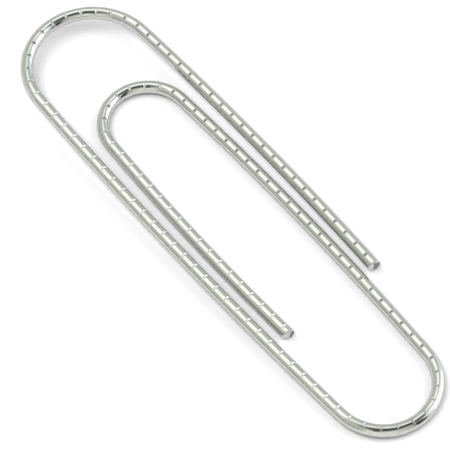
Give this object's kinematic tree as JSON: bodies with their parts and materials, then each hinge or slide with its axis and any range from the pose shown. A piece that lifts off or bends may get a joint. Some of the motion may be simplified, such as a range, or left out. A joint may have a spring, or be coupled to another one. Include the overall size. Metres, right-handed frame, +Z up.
{
  "type": "paper clip",
  "caption": "Large gem-pattern paper clip bent from round plated steel wire with rolled grip grooves; its tongue and outer loop spring apart to hold the edge of a stack of sheets.",
  "frame": {"origin": "on the surface that the clip lies on, under the middle of its length and width", "axes": "+X along the clip from the outer bend to the end bend, +Y from the spine leg to the outer leg, +Z up out of the plane of the clip"},
  "size_m": [0.0476, 0.0126, 0.0021],
  "materials": {
    "plated_wire": "bright zinc-plated drawn steel wire"
  },
  "bodies": {
    "tongue": {"end_bend_tongue_half": "plated_wire", "tongue_leg": "plated_wire", "inner_bend_tongue_half": "plated_wire"},
    "spine": {"outer_bend_spine_half": "plated_wire", "spine_leg": "plated_wire", "end_bend_spine_half": "plated_wire"},
    "outer_leg": {"outer_leg": "plated_wire", "outer_bend_leg_half": "plated_wire"},
    "tip": {"inner_bend_tip_half": "plated_wire", "tip_leg": "plated_wire"}
  },
  "joints": [
    {"name": "end_bend_twist", "type": "hinge", "parent": "tongue", "child": "spine", "pos_m": [0.02327, -0.00092, 0.00052], "axis": [0, 1, 0], "range_deg": [-1.25, 12], "stiffness_Nm_per_rad": 0.28},
    {"name": "outer_bend_twist", "type": "hinge", "parent": "spine", "child": "outer_leg", "pos_m": [-0.02327, 0.00004, 0.00154], "axis": [0, -1, 0], "range_deg": [0, 10], "stiffness_Nm_per_rad": 0.38},
    {"name": "inner_bend_twist", "type": "hinge", "parent": "tongue", "child": "tip", "pos_m": [-0.01489, 0.00034, 0.00052], "axis": [0, -1, 0], "range_deg": [0, 10], "stiffness_Nm_per_rad": 0.53}
  ]
}
